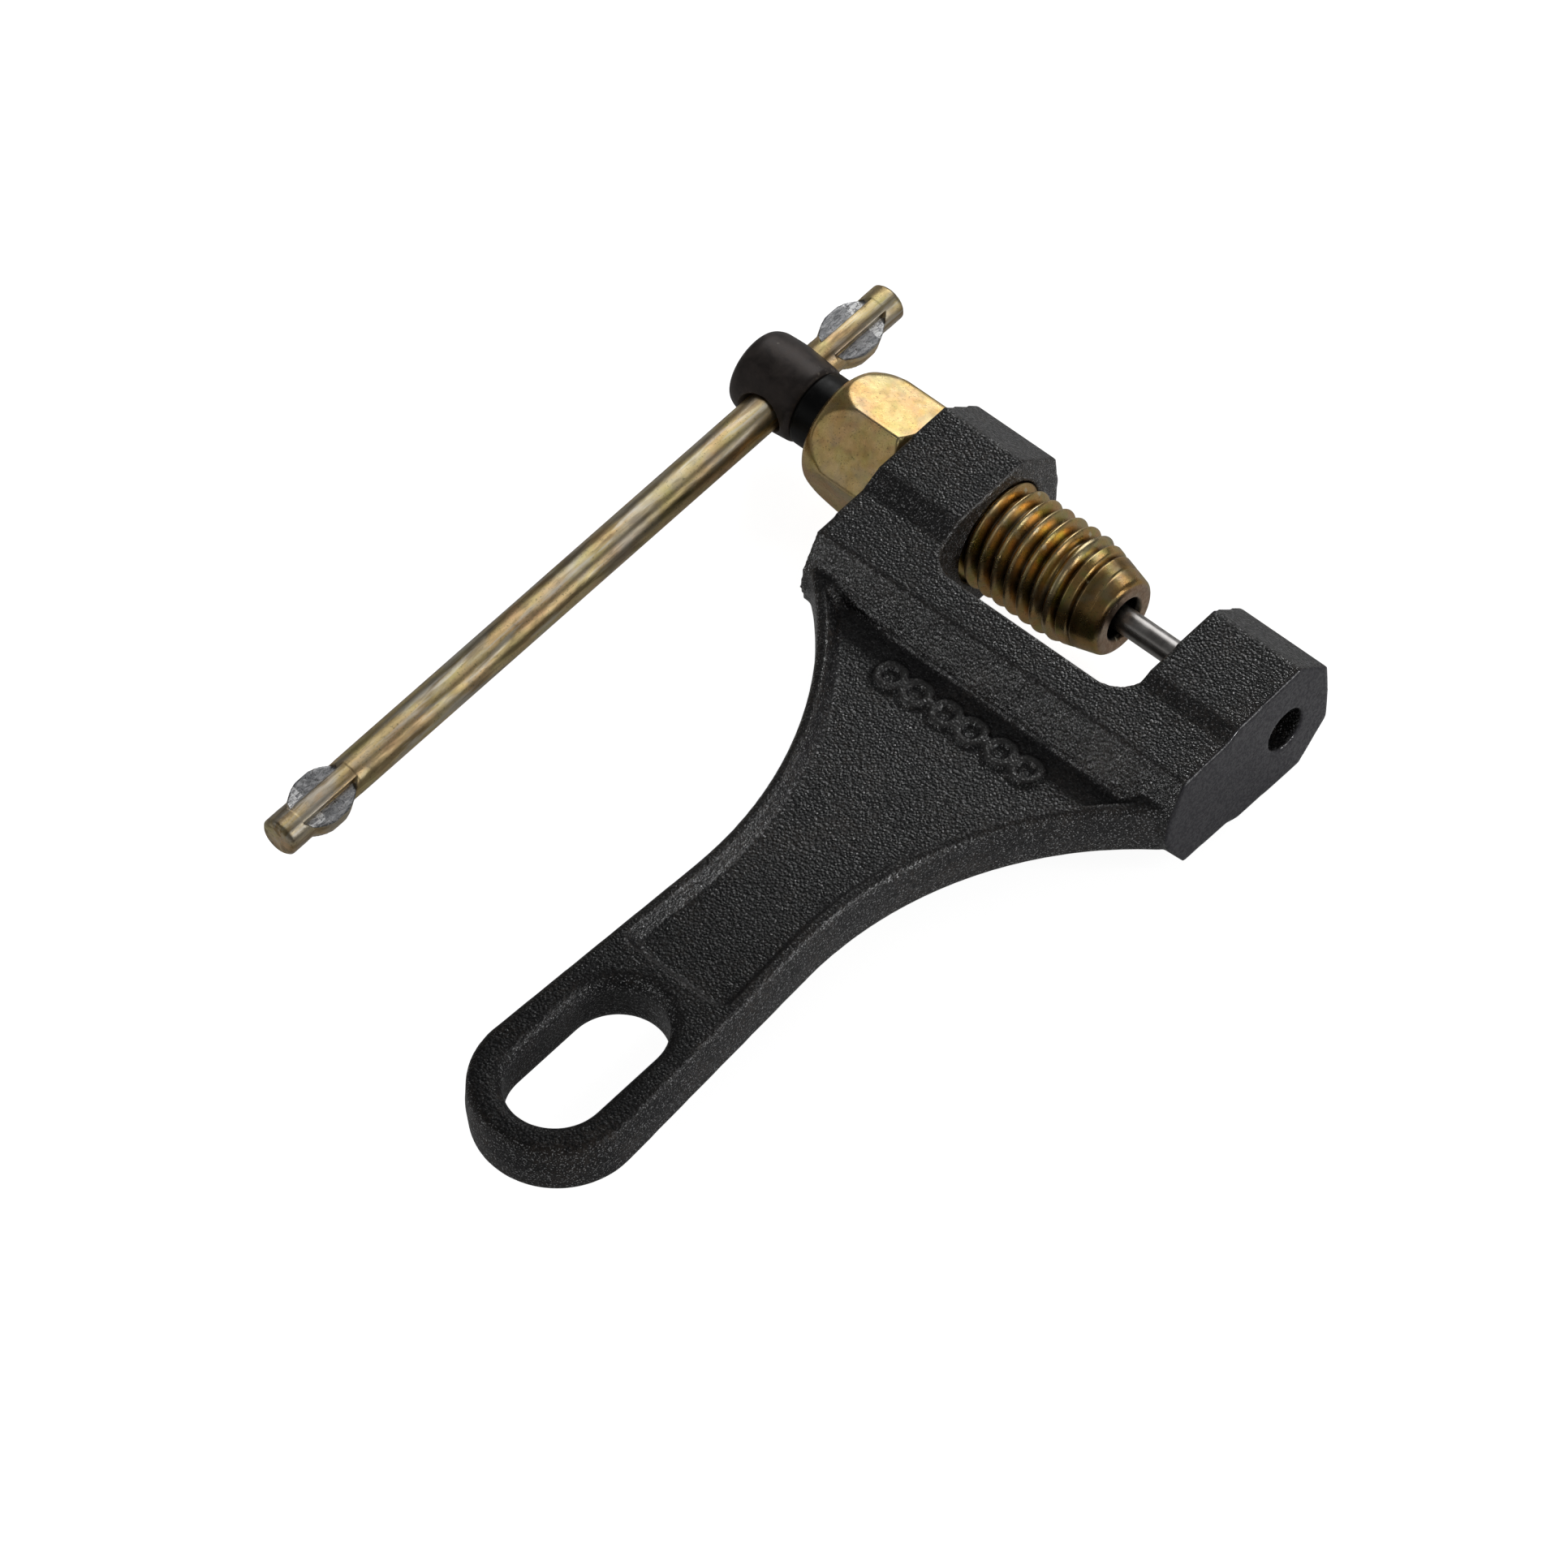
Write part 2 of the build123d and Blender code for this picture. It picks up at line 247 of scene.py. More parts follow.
def clamp_bolt():
    path = rounded_path(
        [
            # rear face, domed rear of the hexagon, chamfered front
            (HEX_REAR + 0.4, SCREW_BORE, 0),
            (HEX_REAR, SCREW_BORE + 0.4, 0.2, 0.4),
            (HEX_REAR, 6.6, 0.5, 0.25),
            (HEX_REAR + 0.8, 7.6, 0.5, 0.15),
            (HEX_REAR + 2.4, 8.35, 0.8, 0.15),
            (HEX_REAR + 5.6, HEX_CORNER_RADIUS + 0.1, 1.0, 0.2),
            (HEX_FRONT - 1.3, HEX_CORNER_RADIUS + 0.1, 0.2, 0.2),
            (HEX_FRONT, 7.7, 0.12, 0.12),
            # shank and nose, a hair outside the crests that bolt_shape cuts back to
            (HEX_FRONT + 0.02, BOLT_RADIUS + 0.12, 0, 0.2),
            (HEX_FRONT + 0.3, BOLT_RADIUS + 0.12, 0, 0.11),
            (NOSE_X - NOSE_CONE, BOLT_RADIUS + 0.06, 1.0, 0.11),
            (NOSE_X - 0.4, NOSE_RADIUS + 0.05, 0.5, 0.15),
            (NOSE_X, NOSE_RADIUS - 0.6, 0.3, 0.3),
            # back through the nose hole and the bore
            (NOSE_X, NOSE_HOLE + 0.35, 0.25, 0.25),
            (NOSE_X - 0.6, NOSE_HOLE, 0.2, 1.0),
            (SCREW_BORE_END + 1.2, NOSE_HOLE, 0, 0.8),
            (SCREW_BORE_END, SCREW_BORE, 0, 2.0),
            (HEX_REAR + 0.5, SCREW_BORE, 0),
        ],
        0.3,
    )
    return turned("bolt_body_turned", path, 190, bolt_shape, closed=True)


# ---------------------------------------------------------------- pusher screw
def screw_shape(x, r, angle):
    """Cuts the shank's outside back to its thread, which starts clear of the head."""
    plain, run_in, socket = 3.0, 1.2, 2.5
    start = np.clip((x - HEAD_FRONT - plain) / run_in, 0, 1)
    groove = thread_depth(x, angle, SCREW_PITCH, SCREW_DEPTH) * start
    return np.where(r > socket, smooth_min(SCREW_RADIUS - groove, r + 0 * angle, 0.15), r)


def screw_shank():
    path = rounded_path(
        [
            (HEAD_FRONT - 1.5, SCREW_RADIUS + 0.08, 0, 0.5),
            (HEAD_FRONT + 2.8, SCREW_RADIUS + 0.08, 0, 0.1),
            (SCREW_TIP - 0.7, SCREW_RADIUS + 0.08, 0.2, 0.1),
            (SCREW_TIP, SCREW_RADIUS - 0.7, 0.2, 0.3),
            (SCREW_TIP, 1.75, 0.1, 0.3),
            (SCREW_TIP - 6, 1.72, 0, 2.0),
        ],
        0.3,
    )
    return turned("screw_shank", path, 128, screw_shape)


def cross_drill():
    """The bar's hole with a flared mouth at each end, to be cut out of the screw's head."""
    mouth = [(8.0, 4.6), (4.9, BAR_HOLE + 0.32), (4.3, BAR_HOLE + 0.02)]
    path = np.array([(-y, r) for y, r in mouth] + mouth[::-1])
    angles = full_circle(96)
    radii = np.repeat(path[:, 1:2], len(angles), 1)
    drill = ring_mesh("drill", path[:, 0], radii, angles, X_AXIS, Z_AXIS, Y_AXIS)
    drill.location.x = BAR_X * MM
    bpy.context.view_layer.update()
    return drill


def screw_head():
    path = rounded_path(
        [
            (HEAD_REAR, 0.3, 0, 0.5),
            (HEAD_REAR, 4.35, 0.5, 0.3),
            (HEAD_REAR + 0.35, 4.95, 0.4, 0.2),
            (HEAD_REAR + 1.3, 5.40, 0.5, 0.25),
            (HEAD_REAR + 4.6, 5.58, 2.0, 0.3),
            (HEAD_FRONT - 0.5, 5.12, 0.25, 0.2),
            (HEAD_FRONT, 4.72, 0.2, 0.2),
            (HEAD_FRONT, 0.3, 0, 0.5),
        ],
        0.3,
    )
    head = turned("screw_head", path, 128)
    drill = cross_drill()
    hole = head.modifiers.new("hole", "BOOLEAN")
    hole.operation = "DIFFERENCE"
    hole.solver = "EXACT"
    hole.object = drill
    add_skin(head, HEAD_VOXEL, 4)
    apply_modifiers(head)
    bpy.data.objects.remove(drill)
    return smooth_shaded(head)


# ---------------------------------------------------------------- ejector pin and stop ring
def ejector_pin():
    path = rounded_path(
        [
            (PIN_REAR, 0.2, 0, 0.4),
            (PIN_REAR, PIN_RADIUS - 0.3, 0.1, 0.2),
            (PIN_REAR + 0.3, PIN_RADIUS, 0.1, 1.0),
            (PIN_TIP - 0.4, PIN_RADIUS, 0.2, 0.2),
            (PIN_TIP, PIN_RADIUS - 0.4, 0.15, 0.2),
            (PIN_TIP, 0.2, 0, 0.3),
        ],
        0.5,
    )
    return turned("ejector_pin_ground", path, 64)


def stop_ring():
    path = rounded_path(
        [
            (RING_REAR + 0.5, RING_INNER, 0),
            (RING_REAR, RING_INNER, 0.12, 0.1),
            (RING_REAR, RING_OUTER, 0.7, 0.1),
            (RING_FRONT, RING_OUTER, 0.7, 0.1),
            (RING_FRONT, RING_INNER, 0.12, 0.3),
            (RING_REAR + 0.8, RING_INNER, 0),
        ],
        0.3,
    )
    return turned("stop_ring_moulded", path, 128, closed=True)


# ---------------------------------------------------------------- tommy bar
def ear_outline(along):
    """Half width of the pressed ears at a distance from their middle, or 0 away from them."""
    rise = EAR_APEX - EAR_RIDGE
    radius = (EAR_HALF_LENGTH**2 + rise**2) / (2 * rise)
    inside = np.clip(radius**2 - along**2, 0, None) ** 0.5 - (radius - EAR_APEX)
    return np.where(np.abs(along) < EAR_HALF_LENGTH, inside, 0)


def bar_stations(ears):
    """Where the bar's rings lie: close together over the ears, and wide apart between them."""
    fine, reach = 0.1, 5.1
    stations = [BAR_LOW, BAR_LOW + 0.02]
    stations += list(np.linspace(BAR_LOW + 0.12, ears[0] - reach - fine, 10))
    stations += list(np.arange(ears[0] - reach, ears[0] + reach, fine))
    stations += list(np.linspace(ears[0] + reach + fine, ears[1] - reach - fine, 60))
    stations += list(np.arange(ears[1] - reach, ears[1] + reach, fine))
    stations += list(np.linspace(ears[1] + reach + fine, BAR_TOP - 0.12, 10))
    stations += [BAR_TOP - 0.02, BAR_TOP]
    return np.array(stations)


def tommy_bar():
    angles = full_circle(216)
    ears = (BAR_LOW + EAR_FROM_END, BAR_TOP - EAR_FROM_END)
    stations = bar_stations(ears)
    y = stations[:, None]
    from_end = np.minimum(y - BAR_LOW, BAR_TOP - y)
    circle = BAR_RADIUS - BAR_END_ROUND * np.clip(1 - from_end / BAR_END_ROUND, 0, 1) ** 1.5
    lower_half = y < 0.5 * (BAR_LOW + BAR_TOP)
    along = np.where(lower_half, y - ears[0], y - ears[1])
    half_width = ear_outline(along)
    across, out = np.abs(np.cos(angles))[None, :], np.abs(np.sin(angles))[None, :]
    # the pressed flats reach out to a shallow edge; elsewhere the bar stays round
    ray = np.linspace(0, 1, 160)[:, None, None] * (EAR_APEX + 0.1)
    v, n = ray * across, ray * out
    in_ear = (v < half_width) & (n < EAR_THICK)
    in_round = (ray < circle) & ~((v > EAR_RIDGE) & (v < half_width) & (n > EAR_THICK))
    reach = np.where(in_ear | in_round, ray, 0).max(0)
    pressed = half_width > EAR_RIDGE
    radii = np.where(pressed, reach, circle + 0 * across)
    up = np.array([math.cos(BAR_TILT), 0, math.sin(BAR_TILT)])
    piece = ring_mesh("tommy_bar_pressed", stations, radii, angles, np.cross(Y_AXIS, up), up, Y_AXIS)
    piece.data.transform(Matrix.Translation((BAR_X * MM, 0, 0)))
    # for the material: 1 on the bare flats, 2 where the metal is torn bright toward the bar's end
    v, n = radii * across, radii * out
    flat = pressed & (v > EAR_RIDGE * 1.02) & (v < half_width) & (n > EAR_THICK * 0.93)
    torn = np.where(lower_half, -along, along) > 1.6
    rings, fan_centres = (flat * (1.0 + torn)).ravel(), np.zeros(2)
    layer = piece.data.attributes.new("bare", "FLOAT", "POINT")
    layer.data.foreach_set("value", np.concatenate([rings, fan_centres]).astype(np.float32))
    return piece


# ---------------------------------------------------------------- materials
class Graph:
    """A material's node tree, with short calls for the nodes used here. Lengths are in millimetres."""

    def __init__(self, name):
        self.material = bpy.data.materials.new(name)
        self.material.use_nodes = True
        self.tree = self.material.node_tree
        self.shader = self.tree.nodes["Principled BSDF"]
        place = self.node("ShaderNodeTexCoord").outputs["Object"]
        self.place = self.vector("SCALE", {"Vector": place, "Scale": 1.0 / MM})

    def node(self, kind, inputs=None, **settings):
        made = self.tree.nodes.new(kind)
        for key, value in settings.items():
            setattr(made, key, value)
        for key, value in (inputs or {}).items():
            self.feed(made.inputs[key], value)
        return made

    def feed(self, socket, value):
        if isinstance(value, bpy.types.NodeSocket):
            self.tree.links.new(value, socket)
        else:
            socket.default_value = value

    def set(self, **values):
        for key, value in values.items():
            self.feed(self.shader.inputs[key.replace("_", " ")], value)

    def vector(self, operation, inputs, output=0):
        return self.node("ShaderNodeVectorMath", operation=operation, inputs=inputs).outputs[output]

    def stretched(self, x, y, z):
        return self.vector("MULTIPLY", {0: self.place, 1: (x, y, z)})

    def noise(self, size, detail=2.0, rough=0.5, warp=0.0, place=None):
        inputs = {"Vector": place or self.place, "Scale": 1.0 / size}
        inputs |= {"Detail": detail, "Roughness": rough, "Distortion": warp}
        return self.node("ShaderNodeTexNoise", inputs=inputs).outputs["Fac"]

    def cells(self, size):
        inputs = {"Vector": self.place, "Scale": 1.0 / size}
        return self.node("ShaderNodeTexVoronoi", feature="F1", inputs=inputs).outputs["Distance"]

    def math(self, operation, a, b=0.5):
        return self.node("ShaderNodeMath", operation=operation, inputs={0: a, 1: b}).outputs[0]

    def times(self, a, b):
        return self.math("MULTIPLY", a, b)

    def distance(self, value, middle):
        """How far a value is from a middle one, either way."""
        return self.math("ABSOLUTE", self.math("SUBTRACT", value, middle))

    def span(self, value, low, high, to_low=0.0, to_high=1.0):
        """Carries low to to_low and high to to_high in a straight line, and stays there beyond them."""
        inputs = {"Value": value, "From Min": low, "From Max": high, "To Min": to_low, "To Max": to_high}
        return self.node("ShaderNodeMapRange", inputs=inputs).outputs[0]

    def mix(self, share, a, b):
        """The colour a with a share of the colour b."""
        made = self.node("ShaderNodeMix", data_type="RGBA")
        for key, value in ((0, share), (6, a), (7, b)):
            if isinstance(value, tuple):
                value = (*value, 1.0)
            self.feed(made.inputs[key], value)
        return made.outputs[2]

    def bump(self, height, strength, distance, below=None):
        inputs = {"Height": height, "Strength": strength, "Distance": distance * MM}
        made = self.node("ShaderNodeBump", inputs=inputs)
        if below is not None:
            self.feed(made.inputs["Normal"], below)
        return made.outputs[0]

    def axis(self, name):
        return self.node("ShaderNodeSeparateXYZ", inputs={0: self.place}).outputs[name]

    def facing(self, name):
        normal = self.node("ShaderNodeTexCoord").outputs["Normal"]
        return self.node("ShaderNodeSeparateXYZ", inputs={0: normal}).outputs[name]

    def wear(self, low, high):
        """1 on convex edges, 0 elsewhere."""
        return self.span(self.node("ShaderNodeNewGeometry").outputs["Pointiness"], low, high)


CAST_BLACK = (0.0065, 0.0065, 0.0072)
CAST_DUST = (0.040, 0.031, 0.025)
CAST_EDGE = (0.050, 0.041, 0.033)
# painted highlight colour for single grains
CAST_PAINTED_GLINT = (0.36, 0.36, 0.365)
# rubbed wear with a painted highlight, for the link tops
CAST_RUBBED_AND_HIGHLIGHT = (0.036, 0.035, 0.034)
# the machined end face's own finish with a painted reflection of the floor
CAST_END_FACE_AND_SHEEN = (0.016, 0.0145, 0.020)
GRAIN, PITS, SWELL = 0.36, 0.20, 1.5
GRAIN_HEIGHT, PIT_HEIGHT, SWELL_HEIGHT = 0.095, 0.06, 0.12


def raised_links(g):
    """1 on the tops of the raised links, which are painted lighter than the web around them, partly for
    rubbed wear and partly as a painted highlight.
    """
    beside = g.distance(g.axis("X"), HANDLE_X)
    along = g.distance(g.axis("Y"), LINK_ROW_Y)
    height = g.math("ABSOLUTE", g.axis("Z"))
    row = g.times(
        g.span(beside, LINK_ROW_HALF + 0.2, LINK_ROW_HALF - 0.2),
        g.span(along, LINK_HALF_WIDTH + 0.1, LINK_HALF_WIDTH - 0.1),
    )
    return g.times(row, g.span(height, LINK_TOP - 0.35, LINK_TOP - 0.12))


def cast_material():
    g = Graph("black_casting")
    end_face = g.span(g.axis("X"), ANVIL_END - 0.4, ANVIL_END - 0.15)
    as_cast = g.span(end_face, 0, 1, 1, 0)
    # the flat end face keeps only a trace of the grain
    depth = g.span(end_face, 0, 1, 1.0, 0.12)
    surface = g.bump(g.math("SUBTRACT", 1.0, g.cells(GRAIN)), g.times(depth, 0.9), GRAIN_HEIGHT)
    surface = g.bump(g.noise(PITS, 2.0, 0.6), g.times(depth, 0.8), PIT_HEIGHT, surface)
    surface = g.bump(g.noise(SWELL, 2.0, 0.5), g.times(depth, 0.35), SWELL_HEIGHT, surface)
    dust = g.span(g.times(g.noise(7.0, 4.0, 0.6), g.noise(0.5, 2.0, 0.6)), 0.24, 0.38)
    edge = g.times(g.wear(0.505, 0.55), g.span(g.noise(1.6, 3.0, 0.6), 0.35, 0.65))
    colour = g.mix(g.times(dust, 0.6), CAST_BLACK, CAST_DUST)
    colour = g.mix(g.times(edge, 0.7), colour, CAST_EDGE)
    # painted glints: single grains are painted light on the slopes toward the handle and toward the
    # anvil's end
    painted_glints = g.span(g.noise(0.21, 1.0, 0.5), 0.61, 0.66)
    toward_handle = g.span(g.facing("Y"), -0.15, -0.55, 0.20, 1.0)
    toward_end = g.span(g.facing("X"), 0.30, 0.80, 0.0, 0.8)
    where = g.times(g.math("MAXIMUM", toward_handle, toward_end), as_cast)
    colour = g.mix(g.times(painted_glints, where), colour, CAST_PAINTED_GLINT)
    # the link tops are painted lighter: partly rubbed wear, partly a painted highlight
    colour = g.mix(g.times(raised_links(g), 0.9), colour, CAST_RUBBED_AND_HIGHLIGHT)
    # the machined end face keeps its own finish, painted lighter and bluer as a painted reflection of the
    # floor
    colour = g.mix(end_face, colour, CAST_END_FACE_AND_SHEEN)
    rough = g.span(g.noise(0.5, 2.0, 0.5), 0.3, 0.7, 0.40, 0.55)
    g.set(Base_Color=colour, Roughness=rough, Normal=surface, Coat_Normal=surface)
    # the gloss changes from grain to grain, and the handle's end is duller than the jaw
    gloss = g.span(g.noise(0.34, 1.0, 0.5), 0.40, 0.60, 0.45, 1.0)
    gloss = g.times(gloss, g.span(g.axis("Y"), DULL_END_Y, GLOSSY_FROM_Y, 0.25, 1.0))
    g.set(Coat_Weight=gloss, Specular_IOR_Level=g.span(gloss, 0.0, 1.0, 0.20, 0.45))
    g.shader.inputs["Coat Roughness"].default_value = 0.13
    return g.material


PLATING_GREEN, PLATING_PINK = (0.60, 0.64, 0.22), (0.90, 0.46, 0.28)
PLATING_STAIN, PLATING_SPECK = (0.32, 0.24, 0.14), (0.12, 0.09, 0.06)
PLATING_SILVER, PLATING_EDGE = (0.66, 0.61, 0.52), (1.0, 0.88, 0.62)
# the thread-root and bore colours below are painted shade
FLANK_ORANGE, FLANK_GREEN, ROOT_PAINTED_SHADE = (0.80, 0.44, 0.13), (0.52, 0.50, 0.12), (0.10, 0.065, 0.03)
NOSE_BROWN, NOSE_WORN, BORE_PAINTED_SHADE = (0.42, 0.27, 0.19), (0.62, 0.45, 0.34), (0.02, 0.016, 0.012)
STREAK_BROWN, STREAK_PALE = (0.24, 0.16, 0.08), (0.78, 0.75, 0.67)
STEEL_DARK, STEEL_LIGHT, STEEL_TORN = (0.27, 0.275, 0.285), (0.50, 0.50, 0.51), (0.95, 0.95, 0.95)
STEEL_CRACK, STEEL_BORDER = (0.045, 0.040, 0.036), (0.07, 0.05, 0.035)


def thread_colour(g, colour, green):
    """Tints the bolt's thread flanks, paints shade into its roots and its bore, and wears its nose."""
    reach = g.vector("LENGTH", {0: g.stretched(0.0, 1.0, 1.0)}, "Value")
    x = g.axis("X")
    shank = g.span(x, HEX_FRONT + 0.2, HEX_FRONT + 0.6)
    flank = g.times(g.span(reach, BOLT_RADIUS - 0.35, BOLT_RADIUS - 0.05, 1.0, 0.0), shank)
    root = g.times(g.span(reach, BOLT_RADIUS - 1.25, BOLT_RADIUS - 0.75, 1.0, 0.0), shank)
    behind_nose = g.span(x, NOSE_X - 3.2, NOSE_X - 2.4, 1.0, 0.25)
    colour = g.mix(g.times(flank, 0.5), colour, g.mix(green, FLANK_ORANGE, FLANK_GREEN))
    # painted shade in the thread roots, weaker near the nose
    colour = g.mix(g.times(g.times(root, behind_nose), 0.85), colour, ROOT_PAINTED_SHADE)
    nose_face = g.times(
        g.span(x, NOSE_X - 0.22, NOSE_X - 0.08),
        g.span(reach, NOSE_RADIUS + 0.1, NOSE_RADIUS - 0.2),
    )
    worn = g.mix(g.span(g.noise(0.7, 3.0, 0.7), 0.42, 0.6), NOSE_BROWN, NOSE_WORN)
    colour = g.mix(g.times(nose_face, 0.8), colour, worn)
    # painted shade inside the bore
    bore = g.times(
        g.span(reach, NOSE_HOLE + 0.5, NOSE_HOLE + 0.2),
        g.span(x, HEX_FRONT, HEX_FRONT + 1),
    )
    return g.mix(bore, colour, BORE_PAINTED_SHADE)


def streaked(g, colour):
    """Adds the long brown and pale streaks of the tommy bar's plating."""
    brown = g.noise(1.3, 3.0, 0.6, 0.3, g.stretched(1.0, 0.12, 1.0))
    pale = g.noise(1.0, 3.0, 0.6, 0.3, g.stretched(1.0, 0.09, 1.0))
    colour = g.mix(g.span(brown, 0.50, 0.62, 0.0, 0.60), colour, STREAK_BROWN)
    return g.mix(g.span(pale, 0.54, 0.63, 0.0, 0.55), colour, STREAK_PALE)


def zinc_material(name, iridescent, stained, satin, axis, dull, bright, bare=False, threaded=False):
    g = Graph(name)
    place = g.stretched(*axis)
    tone = g.noise(3.2, 3.0, 0.6, 0.6, place)
    stain = g.noise(1.6, 4.0, 0.65, 0.3, place)
    green = g.span(g.noise(2.6, 2.0, 0.5, 0.5, place), 0.46, 0.68)
    elsewhere = g.vector("ADD", {0: place, 1: (31.0, 17.0, 5.0)})
    pink = g.span(g.noise(3.1, 2.0, 0.5, 0.5, elsewhere), 0.46, 0.68)
    colour = g.mix(g.span(tone, 0.3, 0.7), dull, bright)
    colour = g.mix(g.times(green, iridescent), colour, PLATING_GREEN)
    colour = g.mix(g.times(pink, iridescent), colour, PLATING_PINK)
    colour = g.mix(g.span(stain, 0.54, 0.72, 0.0, stained), colour, PLATING_STAIN)
    if threaded:
        colour = thread_colour(g, colour, green)
    specks = g.span(g.noise(0.24, 2.0, 0.6), 0.60, 0.70, 0.0, 0.6)
    colour = g.mix(specks, colour, PLATING_SPECK)
    silver = g.span(g.noise(5.0, 3.0, 0.6, 0.3, place), 0.50, 0.62, 0.0, stained)
    colour = g.mix(silver, colour, PLATING_SILVER)
    colour = g.mix(g.times(g.wear(0.525, 0.60), 0.75), colour, PLATING_EDGE)
    rough = g.span(stain, 0.35, 0.7, 0.16 + satin, 0.32 + satin)
    surface = g.bump(g.noise(0.22, 3.0, 0.6), 0.45, 0.03)
    surface = g.bump(g.noise(1.1, 2.0, 0.5), 0.25, 0.06, surface)
    if bare:
        attribute = g.node("ShaderNodeAttribute", attribute_name="bare").outputs["Fac"]
        mask = g.math("MINIMUM", attribute, 1.0)
        tear = g.span(g.noise(0.35, 2.0, 0.6, 0.4, g.stretched(1.0, 0.3, 1.0)), 0.44, 0.52)
        scrape = g.noise(0.5, 3.0, 0.6, 0.8, g.stretched(1.0, 0.35, 1.0))
        crack = g.distance(g.noise(0.9, 3.0, 0.6, 1.0), 0.5)
        steel = g.mix(g.span(scrape, 0.42, 0.6), STEEL_DARK, STEEL_LIGHT)
        steel = g.mix(g.times(g.span(attribute, 1.3, 1.7), tear), steel, STEEL_TORN)
        steel = g.mix(g.span(crack, 0.006, 0.022, 0.75, 0.0), steel, STEEL_CRACK)
        colour = g.mix(mask, streaked(g, colour), steel)
        border = g.math("SUBTRACT", 1.0, g.distance(g.times(mask, 2.0), 1.0))
        colour = g.mix(g.times(border, 0.8), colour, STEEL_BORDER)
        rough = g.math("ADD", rough, g.times(mask, 0.08))
        surface = g.bump(scrape, g.times(mask, 0.6), 0.12, surface)
    g.set(Base_Color=colour, Roughness=rough, Normal=surface)
    g.shader.inputs["Metallic"].default_value = 1.0
    return g.material


OXIDE_DARK, OXIDE_LIGHT, OXIDE_SCRATCH = (0.058, 0.048, 0.044), (0.125, 0.102, 0.092), (0.10, 0.085, 0.075)
OXIDE_RIM, OXIDE_EDGE = (0.26, 0.24, 0.22), (0.26, 0.23, 0.20)


def black_steel_material():
    g = Graph("black_oxide_steel")
    smudge = g.noise(2.2, 4.0, 0.6, 0.5)
    edge = g.times(g.wear(0.515, 0.56), g.span(g.noise(0.8, 3.0, 0.7), 0.42, 0.62))
    colour = g.mix(g.span(smudge, 0.35, 0.7), OXIDE_DARK, OXIDE_LIGHT)
    # a thin worn line runs round the head just in front of its rear face
    x = g.axis("X")
    rim = g.times(
        g.span(x, HEAD_REAR + 0.25, HEAD_REAR + 0.40),
        g.span(x, HEAD_REAR + 0.62, HEAD_REAR + 0.50),
    )
    rim = g.times(rim, g.span(g.noise(0.9, 3.0, 0.7), 0.40, 0.60))
    colour = g.mix(g.times(rim, 0.8), colour, OXIDE_RIM)
    scratch = g.span(g.noise(0.3, 3.0, 0.7, 0.4, g.stretched(0.3, 1.0, 1.0)), 0.60, 0.70)
    colour = g.mix(g.times(scratch, 0.4), colour, OXIDE_SCRATCH)
    colour = g.mix(edge, colour, OXIDE_EDGE)
    surface = g.bump(g.noise(0.2, 3.0, 0.6), 0.3, 0.03)
    rough = g.span(smudge, 0.3, 0.7, 0.38, 0.55)
    g.set(Base_Color=colour, Roughness=rough, Normal=surface)
    g.shader.inputs["Metallic"].default_value = 0.35
    return g.material


def rubber_material():
    g = Graph("black_rubber")
    bloom = g.noise(1.0, 3.0, 0.6)
    colour = g.mix(g.span(bloom, 0.5, 0.8), (0.004, 0.004, 0.0043), (0.012, 0.0115, 0.011))
    surface = g.bump(g.noise(0.35, 2.0, 0.5), 0.12, 0.03)
    g.set(Base_Color=colour, Roughness=g.span(bloom, 0.3, 0.7, 0.30, 0.46), Normal=surface)
    g.shader.inputs["Specular IOR Level"].default_value = 0.25
    return g.material


def pin_material():
    g = Graph("ground_steel")
    turning = g.noise(0.12, 2.0, 0.6, 0.0, g.stretched(1.0, 0.15, 0.15))
    patch = g.noise(1.5, 3.0, 0.6)
    colour = g.mix(g.span(patch, 0.35, 0.7), (0.42, 0.40, 0.38), (0.66, 0.64, 0.62))
    surface = g.bump(turning, 0.25, 0.02)
    g.set(Base_Color=colour, Roughness=g.span(patch, 0.3, 0.7, 0.26, 0.38), Normal=surface)
    g.shader.inputs["Metallic"].default_value = 1.0
    return g.material


# ---------------------------------------------------------------- dress the model
def place_piece(piece, body, node, material):
    piece.data.materials.clear()
    piece.data.materials.append(material)
    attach(piece, body)
    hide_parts(node)


black_steel = black_steel_material()
casting = cast_frame()
place_piece(casting, "frame_body", "frame", cast_material())
bolt_zinc = zinc_material(
    "zinc_gold_bolt",
    iridescent=0.35,
    stained=0.25,
    satin=0.07,
    axis=(1.0, 1.0, 1.0),
    dull=(0.76, 0.50, 0.18),
    bright=(0.95, 0.70, 0.32),
    threaded=True,
)
bar_zinc = zinc_material(
    "zinc_gold_bar",
    iridescent=0.35,
    stained=0.75,
    satin=0.12,
    axis=(1.0, 0.4, 1.0),
    dull=(0.60, 0.44, 0.21),
    bright=(0.88, 0.71, 0.38),
    bare=True,
)
bolt, head, shank = clamp_bolt(), screw_head(), screw_shank()
pin, ring, bar = ejector_pin(), stop_ring(), tommy_bar()
place_piece(bolt, "bolt_body", "clamp_bolt", bolt_zinc)
place_piece(head, "screw_body", "pusher_screw", black_steel)
place_piece(shank, "screw_body", "pusher_screw", black_steel)
place_piece(pin, "pin_body", "ejector_pin", pin_material())
place_piece(ring, "ring_body", "stop_ring", rubber_material())
place_piece(bar, "bar_body", "tommy_bar", bar_zinc)


